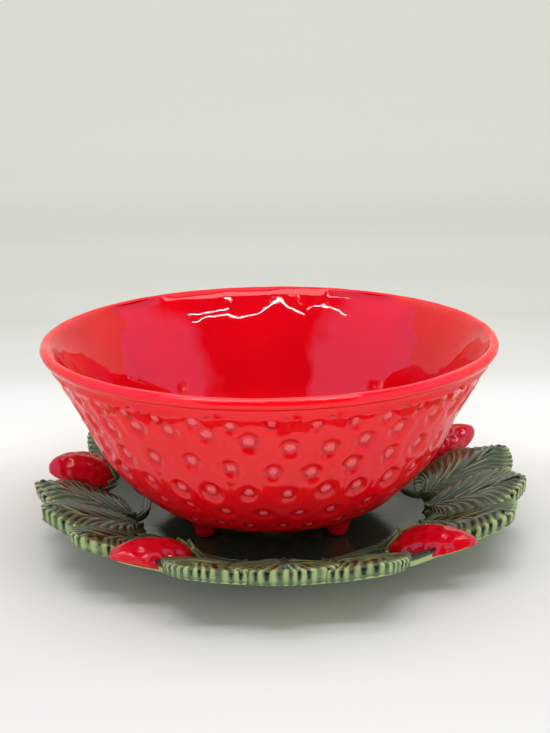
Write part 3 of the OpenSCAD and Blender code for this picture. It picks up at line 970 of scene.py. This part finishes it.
class COLANDER_OT_berries(bpy.types.Operator):
    """Build the five strawberries in relief"""
    bl_idname = "colander.berries"
    bl_label = "Strawberries"

    def execute(self, context):
        plate = context.scene.colander_plate
        # Dents in staggered rows, one pitch apart
        pitch, dent_r, dent_depth = 6.2 * MM, 3.3 * MM, .95 * MM
        share = (1 - np.cos(np.linspace(0, math.pi, 65))) / 2
        for number, name in enumerate(BERRIES):
            line = np.stack([berry_radius(plate, share), share * plate.berry_len], 1)
            line[0, 0] = line[-1, 0] = 0
            mesh = spun_mesh("berry_" + name, line, 96)
            co = points_of(mesh)
            radius = np.hypot(co[:, 0], co[:, 1])
            turn = np.arctan2(co[:, 1], co[:, 0])
            along = co[:, 2]
            rng = np.random.default_rng(40 + number)
            relief = np.zeros(len(co))
            for row in range(1, 7):
                girth = math.tau * float(berry_radius(plate, row * pitch / plate.berry_len))
                count = max(4, int(round(girth / pitch)))
                step = math.tau / count
                first = (row % 2) * step / 2 + rng.uniform(-.2, .2)
                index = np.rint((turn - first) / step).astype(int)
                jitter = rng.normal(0, .5 * MM, (count, 2))[index % count]
                wide = (turn - first - index * step) * radius + jitter[:, 0]
                tall = along - row * pitch - jitter[:, 1]
                relief -= dent_depth * dimple(np.hypot(wide, tall * .9) / dent_r)
            relief += waves(turn, along, ((2, 90, .35, number), (3, -140, .25, 2.0 + number)))
            scale = 1 + relief / np.maximum(radius, 2 * MM)
            co[:, :2] *= scale[:, None]
            co = move(co, berry_matrix(plate, name))
            r = np.hypot(co[:, 0], co[:, 1])
            # Its underside is cut off inside the plate
            edge = outline_radius(plate, np.degrees(np.arctan2(co[:, 1], co[:, 0]))) - 1.5 * MM
            floor = slope_z(plate, r) - 2.2 * MM - 2.0 * MM * smooth_step(-1.6 * MM, .4 * MM, r - edge)
            co[:, 2] = np.maximum(co[:, 2], floor)
            put_points(mesh, co)
            glaze = .58 + .22 * relief / MM - .25 * smooth_step(12 * MM, 2 * MM, along)
            add_attribute(mesh, "glaze", np.clip(glaze, 0, 1))
            berry = new_object("berry_" + name, stitched(mesh), glaze_of("berry"))
            claim(berry, "plate", "strawberry_glaze", "strawberry_" + name)
        return {"FINISHED"}


class COLANDER_OT_caps(bpy.types.Operator):
    """Build the leafy caps on the strawberries"""
    bl_idname = "colander.caps"
    bl_label = "Leafy caps"

    def execute(self, context):
        plate = context.scene.colander_plate
        # Turn around the strawberry from its top in degrees, then length, width and lift of the tip in mm
        sepals = (
            (-104, 15, 6.4, .6), (-72, 11, 6, 1.6), (-38, 15, 6.4, 1.1), (-8, 11, 6, 2.0),
            (24, 15, 6.4, 1.0), (58, 11, 6, 1.6), (90, 15, 6.4, .8), (112, 11, 6, .4),
        )
        foot, thickness = -1.2 * MM, 1.3 * MM
        knob_r, knob_at = 3.4 * MM, Vector((-2.2 * MM, 0, .4 * MM))
        for number, name in enumerate(BERRIES):
            bm = bmesh.new()
            glaze = bm.verts.layers.float.new("glaze")
            matrix = berry_matrix(plate, name)
            rng = np.random.default_rng(60 + number)
            for turn, length, width, lift in sepals:
                made = bmesh.ops.create_grid(bm, x_segments=8, y_segments=14, size=.5)["verts"]
                turn += rng.uniform(-6, 6)
                length *= rng.uniform(.9, 1.1) * MM
                for v in made:
                    across, share = v.co.x * 2, v.co.y + .5
                    shape = math.sin(math.pi * (.12 + .88 * share) ** .75) ** .8 if share < 1 else 0
                    along = foot + share * length
                    body = float(berry_radius(plate, max(along, .8 * MM) / plate.berry_len))
                    if along < .8 * MM:
                        body *= max(0, (along - foot) / (2 * MM))
                    side = across * max(shape, .02) * width * MM / 2
                    fold = .7 * MM * (1 - abs(across)) - .25 * MM * abs(across)
                    out = body + 1.0 * MM + fold * (1 - .5 * share) + lift * MM * share ** 3
                    # 0 degrees is the strawberry's upper side, which is -X in its own frame
                    angle = math.radians(180 + turn) + side / max(body, 4 * MM)
                    v.co = (out * math.cos(angle), out * math.sin(angle), along)
                    v[glaze] = .55 + .4 * (1 - abs(across)) ** 2 + .3 * abs(across) ** 4
                    v[glaze] -= .25 * bell(abs(across), .3, .15)
                    v.co = matrix @ v.co
                faces = list({f for v in made for f in v.link_faces})
                bmesh.ops.recalc_face_normals(bm, faces=faces)
                bmesh.ops.solidify(bm, geom=faces, thickness=thickness)
            # The boss where the stalk enters
            knob = bmesh.ops.create_icosphere(bm, subdivisions=3, radius=knob_r)["verts"]
            for v in knob:
                v[glaze] = .62
                v.co.x *= 1.1
                v.co = matrix @ (v.co + knob_at)
            bmesh.ops.remove_doubles(bm, verts=bm.verts, dist=.002 * MM)
            bmesh.ops.recalc_face_normals(bm, faces=bm.faces)
            mesh = finished(bm, "cap_" + name)
            co = points_of(mesh)
            r = np.hypot(co[:, 0], co[:, 1])
            low = slope_z(plate, r) - 1.4 * MM
            co[:, 2] = np.where(co[:, 2] < low, low + .15 * (co[:, 2] - low), co[:, 2])
            put_points(mesh, co)
            cap = new_object("cap_" + name, mesh, glaze_of("cap"))
            claim(cap, "plate", "sepal_glaze", "calyx_" + name)
        return {"FINISHED"}


class COLANDER_OT_vines(bpy.types.Operator):
    """Build the vines around the well with a stalk to each strawberry"""
    bl_idname = "colander.vines"
    bl_label = "Vines"

    def execute(self, context):
        plate = context.scene.colander_plate
        for number, (name, (degrees, *_)) in enumerate(BERRIES.items()):
            spread = np.linspace(-24, 24, 49)
            swing = 1.2 * MM * np.sin(np.radians(spread * 7.5 + 40 * number))
            ends = 6 * MM * (np.abs(spread) / 24) ** 4
            ring = [polar(plate.vine_r + s, degrees + a) for a, s in zip(spread, swing + ends)]
            arc = self.rope(plate, name, np.array(ring), plate.vine_d / 2, .85)
            stalk_r = np.linspace(plate.vine_r - .5 * MM, plate.edge_r - plate.berry_len + 3 * MM, 17)
            bow = 5 * np.sin(np.linspace(0, math.pi / 2, 17)) - 5
            head = berry_matrix(plate, name).translation
            lean = (math.degrees(math.atan2(head.y, head.x)) - degrees + 180) % 360 - 180
            stem = [polar(r, degrees + b + lean * t) for r, b, t in zip(stalk_r, bow, np.linspace(0, 1, 17))]
            stalk = self.rope(plate, name + "_stalk", np.array(stem), plate.stalk_d / 2, .75)
            mesh = finished(gathered(arc, stalk), "tendril_" + name)
            for part in (arc, stalk):
                bpy.data.meshes.remove(part)
            vine = new_object("tendril_" + name, mesh, glaze_of("leaf"))
            claim(vine, "plate", "leaf_glaze", "vine_" + name)
        return {"FINISHED"}

    def rope(self, plate, name, path, radius, end_share):
        """A tapered round strip laid on the plate along a path, with a crease along its top."""
        around = 33
        mesh, step, turn = grid_mesh(name, len(path), around)
        angle = turn / (around - 1) * math.tau
        across = left_of(path)
        share = step / (len(path) - 1)
        thick = radius * (end_share + (1 - end_share) * np.sin(math.pi * share) ** .5)
        thick = np.where((step == 0) | (step == len(path) - 1), 0, thick)
        crease = bell(angle, math.pi / 2, .3)
        xy = path[step] + across[step] * (thick * np.cos(angle))[:, None]
        z = slope_z(plate, np.hypot(*path[step].T)) + thick * (.8 - .42 * crease) * np.sin(angle) + .1 * MM
        put_points(mesh, np.column_stack([xy, z]))
        add_attribute(mesh, "glaze", .42 + .2 * np.clip(np.sin(angle), 0, 1) ** 3 - .3 * crease)
        return stitched(mesh)


# The stage

class COLANDER_OT_stage(bpy.types.Operator):
    """Set up the paper sweep, the light tent and the camera"""
    bl_idname = "colander.stage"
    bl_label = "Stage"

    def execute(self, context):
        stage = context.scene.colander_stage
        context.scene.view_settings.view_transform = "Standard"
        self.sweep()
        self.world(context, stage)
        self.lamps()
        self.camera(context, stage)
        return {"FINISHED"}

    def sweep(self):
        # The paper stands well away from the set, in metres, so that it can be looked at from behind too
        near, far, bend, top, half_width = -8, 1.5, .6, 4, 6
        turn = np.radians(np.linspace(-90, 0, 13))
        curve = [(far + bend * math.cos(a), bend + bend * math.sin(a)) for a in turn]
        bm = bmesh.new()
        verts = [bm.verts.new((-half_width, y, z)) for y, z in [(near, 0), *curve, (far + bend, top)]]
        edges = [bm.edges.new(pair) for pair in zip(verts, verts[1:])]
        made = bmesh.ops.extrude_edge_only(bm, edges=edges)["geom"]
        moved = [v for v in made if isinstance(v, bmesh.types.BMVert)]
        bmesh.ops.translate(bm, vec=(2 * half_width, 0, 0), verts=moved)
        mesh = finished(bm, "sweep")
        # Matt paper, flat; its tones are painted light and shade: a little darker just in front of the set,
        # brightest just behind it, and falling off up the sweep. Each tone has its place in metres behind
        # the set plus metres up
        painted_light_tones = ((-.25, "#E4E6E4"), (-.10, "#DCDEDC"), (.04, "#E6E8E6"), (.13, "#F6F8F6"), (.21, "#F6F8F6"),
                 (.29, "#E6E8E4"), (.46, "#D6D8D3"), (1.05, "#CDCFC9"), (2.4, "#D1D2CC"))
        # The far paper glows for the camera and the glaze alone, and throws no light on the set
        glows = ((.28, "#000000"), (.44, "#55554F"), (.56, "#666660"), (.84, "#84847E"), (1.43, "#9E9E98"),
                 (2.1, "#989890"))
        first, last = -.3, 2.5
        material, tree, shader = blank_material("Matt paper, rolled")
        place = add_node(tree, "ShaderNodeTexCoord").outputs["Object"]
        split = add_node(tree, "ShaderNodeSeparateXYZ", {0: place}).outputs
        along = add_node(tree, "ShaderNodeMath", {0: split["Y"], 1: split["Z"]}, operation="ADD")
        share = add_node(tree, "ShaderNodeMapRange", {"Value": along, "From Min": first, "From Max": last})
        colour, glow = (
            set_stops(add_node(tree, "ShaderNodeValToRGB", {"Fac": share}),
                      [((y - first) / (last - first), linear(tone)) for y, tone in table])
            for table in (painted_light_tones, glows))
        path = add_node(tree, "ShaderNodeLightPath").outputs
        seen = add_node(tree, "ShaderNodeMath", {
            0: path["Is Camera Ray"], 1: path["Is Glossy Ray"]}, operation="ADD")
        feed(tree, shader, {
            "Base Color": colour, "Emission Color": glow, "Emission Strength": seen,
            "Roughness": .9, "Specular IOR Level": .1})
        obj = new_object("sweep", mesh, material)

    def world(self, context, stage):
        """A pale tent all around, open in front, where glossy surfaces see the dark room."""
        world = bpy.data.worlds.new("Light tent")
        context.scene.world = world
        world.use_nodes = True
        tree = world.node_tree
        tree.nodes.clear()
        # The dark opening reaches .48 to .62 to either side of X .08, and ends at Y .25 to .45
        place = add_node(tree, "ShaderNodeTexCoord").outputs["Generated"]
        split = add_node(tree, "ShaderNodeSeparateXYZ", {0: place}).outputs
        middle = add_node(tree, "ShaderNodeMath", {0: split["X"], 1: .08}, operation="SUBTRACT")
        side = add_node(tree, "ShaderNodeMath", {0: middle}, operation="ABSOLUTE")
        wide = add_node(tree, "ShaderNodeMapRange", {"Value": side, "From Min": .48, "From Max": .62})
        behind = add_node(tree, "ShaderNodeMapRange", {
            "Value": split["Y"], "From Min": .25, "From Max": .45})
        pale = add_node(tree, "ShaderNodeMath", {0: wide, 1: behind}, operation="MAXIMUM")
        seen = add_node(tree, "ShaderNodeMapRange", {"Value": pale, "To Min": .03, "To Max": 1.34})
        glossy = add_node(tree, "ShaderNodeLightPath").outputs["Is Glossy Ray"]
        strength = add_node(tree, "ShaderNodeMix", {
            "Factor": glossy, "A": .68, "B": seen}, data_type="FLOAT")
        tone = add_node(tree, "ShaderNodeMix", {
            "Factor": glossy, "A": (*stage.tent, 1), "B": (*stage.tent_glow, 1)}, data_type="RGBA")
        background = add_node(tree, "ShaderNodeBackground", {
            "Color": tone.outputs["Result"], "Strength": strength.outputs["Result"]})
        add_node(tree, "ShaderNodeOutputWorld", {"Surface": background})

    def lamps(self):
        # Name, place, aim, width, depth and power
        rows = (
            ("Softbox, front", (0, -1.1, .22), (0, 0, .06), 1.2, .3, 2.4),
            ("Strip, lower", (.12, -.36, .79), (.1, .05, .05), .84, .012, 1.5),
            ("Strip, upper left", (-.38, -.28, .85), (-.3, .05, .05), .28, .012, .5),
            ("Strip, upper middle", (-.14, -.28, .85), (-.1, .05, .05), .09, .012, .16),
            ("Strip, upper right", (.38, -.28, .85), (.3, .05, .05), .30, .012, .5),
            ("Softbox, above", (0, .05, .95), (0, 0, 0), .7, .5, 3.5),
        )
        for name, place, aim, width, depth, power in rows:
            light = bpy.data.lights.new(name, "AREA")
            light.shape = "RECTANGLE"
            light.size, light.size_y, light.energy = width, depth, power
            obj = bpy.data.objects.new(name, light)
            obj.location = place
            obj.visible_glossy = "front" not in name
            obj.rotation_euler = (Vector(aim) - Vector(place)).to_track_quat("-Z", "Y").to_euler()
            bpy.context.scene.collection.objects.link(obj)

    def camera(self, context, stage):
        back = Vector((0, -math.cos(stage.elevation), math.sin(stage.elevation)))
        right = Vector((1, 0, 0))
        up = back.cross(right)
        lean_right = right * math.cos(stage.roll) + up * math.sin(stage.roll)
        lean_up = up * math.cos(stage.roll) - right * math.sin(stage.roll)
        camera = bpy.data.cameras.new("Camera")
        camera.lens = stage.lens
        camera.sensor_width = 36
        camera.clip_start, camera.clip_end = .01, 20
        obj = bpy.data.objects.new("Camera", camera)
        turn = Matrix((lean_right, lean_up, back)).transposed().to_4x4()
        obj.matrix_world = Matrix.Translation(Vector(stage.aim) + back * stage.distance) @ turn
        context.scene.collection.objects.link(obj)
        context.scene.camera = obj


OPERATORS = (
    COLANDER_OT_stage, COLANDER_OT_bowl, COLANDER_OT_feet, COLANDER_OT_plate, COLANDER_OT_leaves,
    COLANDER_OT_berries, COLANDER_OT_caps, COLANDER_OT_vines,
)


class COLANDER_PT_panel(bpy.types.Panel):
    bl_idname = "COLANDER_PT_panel"
    bl_label = "Colander Bowl"
    bl_space_type = "VIEW_3D"
    bl_region_type = "UI"
    bl_category = "Colander Bowl"

    def draw(self, context):
        for group, kind in GROUPS.items():
            box = self.layout.box()
            for key in kind.__annotations__:
                box.prop(getattr(context.scene, group), key)
        for operator in OPERATORS:
            self.layout.operator(operator.bl_idname)


CLASSES = (*GROUPS.values(), *OPERATORS, COLANDER_PT_panel)


def register():
    for cls in CLASSES:
        bpy.utils.register_class(cls)
    for name, kind in GROUPS.items():
        setattr(bpy.types.Scene, name, PointerProperty(type=kind))


def unregister():
    for name in GROUPS:
        delattr(bpy.types.Scene, name)
    for cls in reversed(CLASSES):
        bpy.utils.unregister_class(cls)


def main():
    register()
    for operator in OPERATORS:
        getattr(bpy.ops.colander, operator.bl_idname.split(".")[1])()


if __name__ == "__main__":
    main()
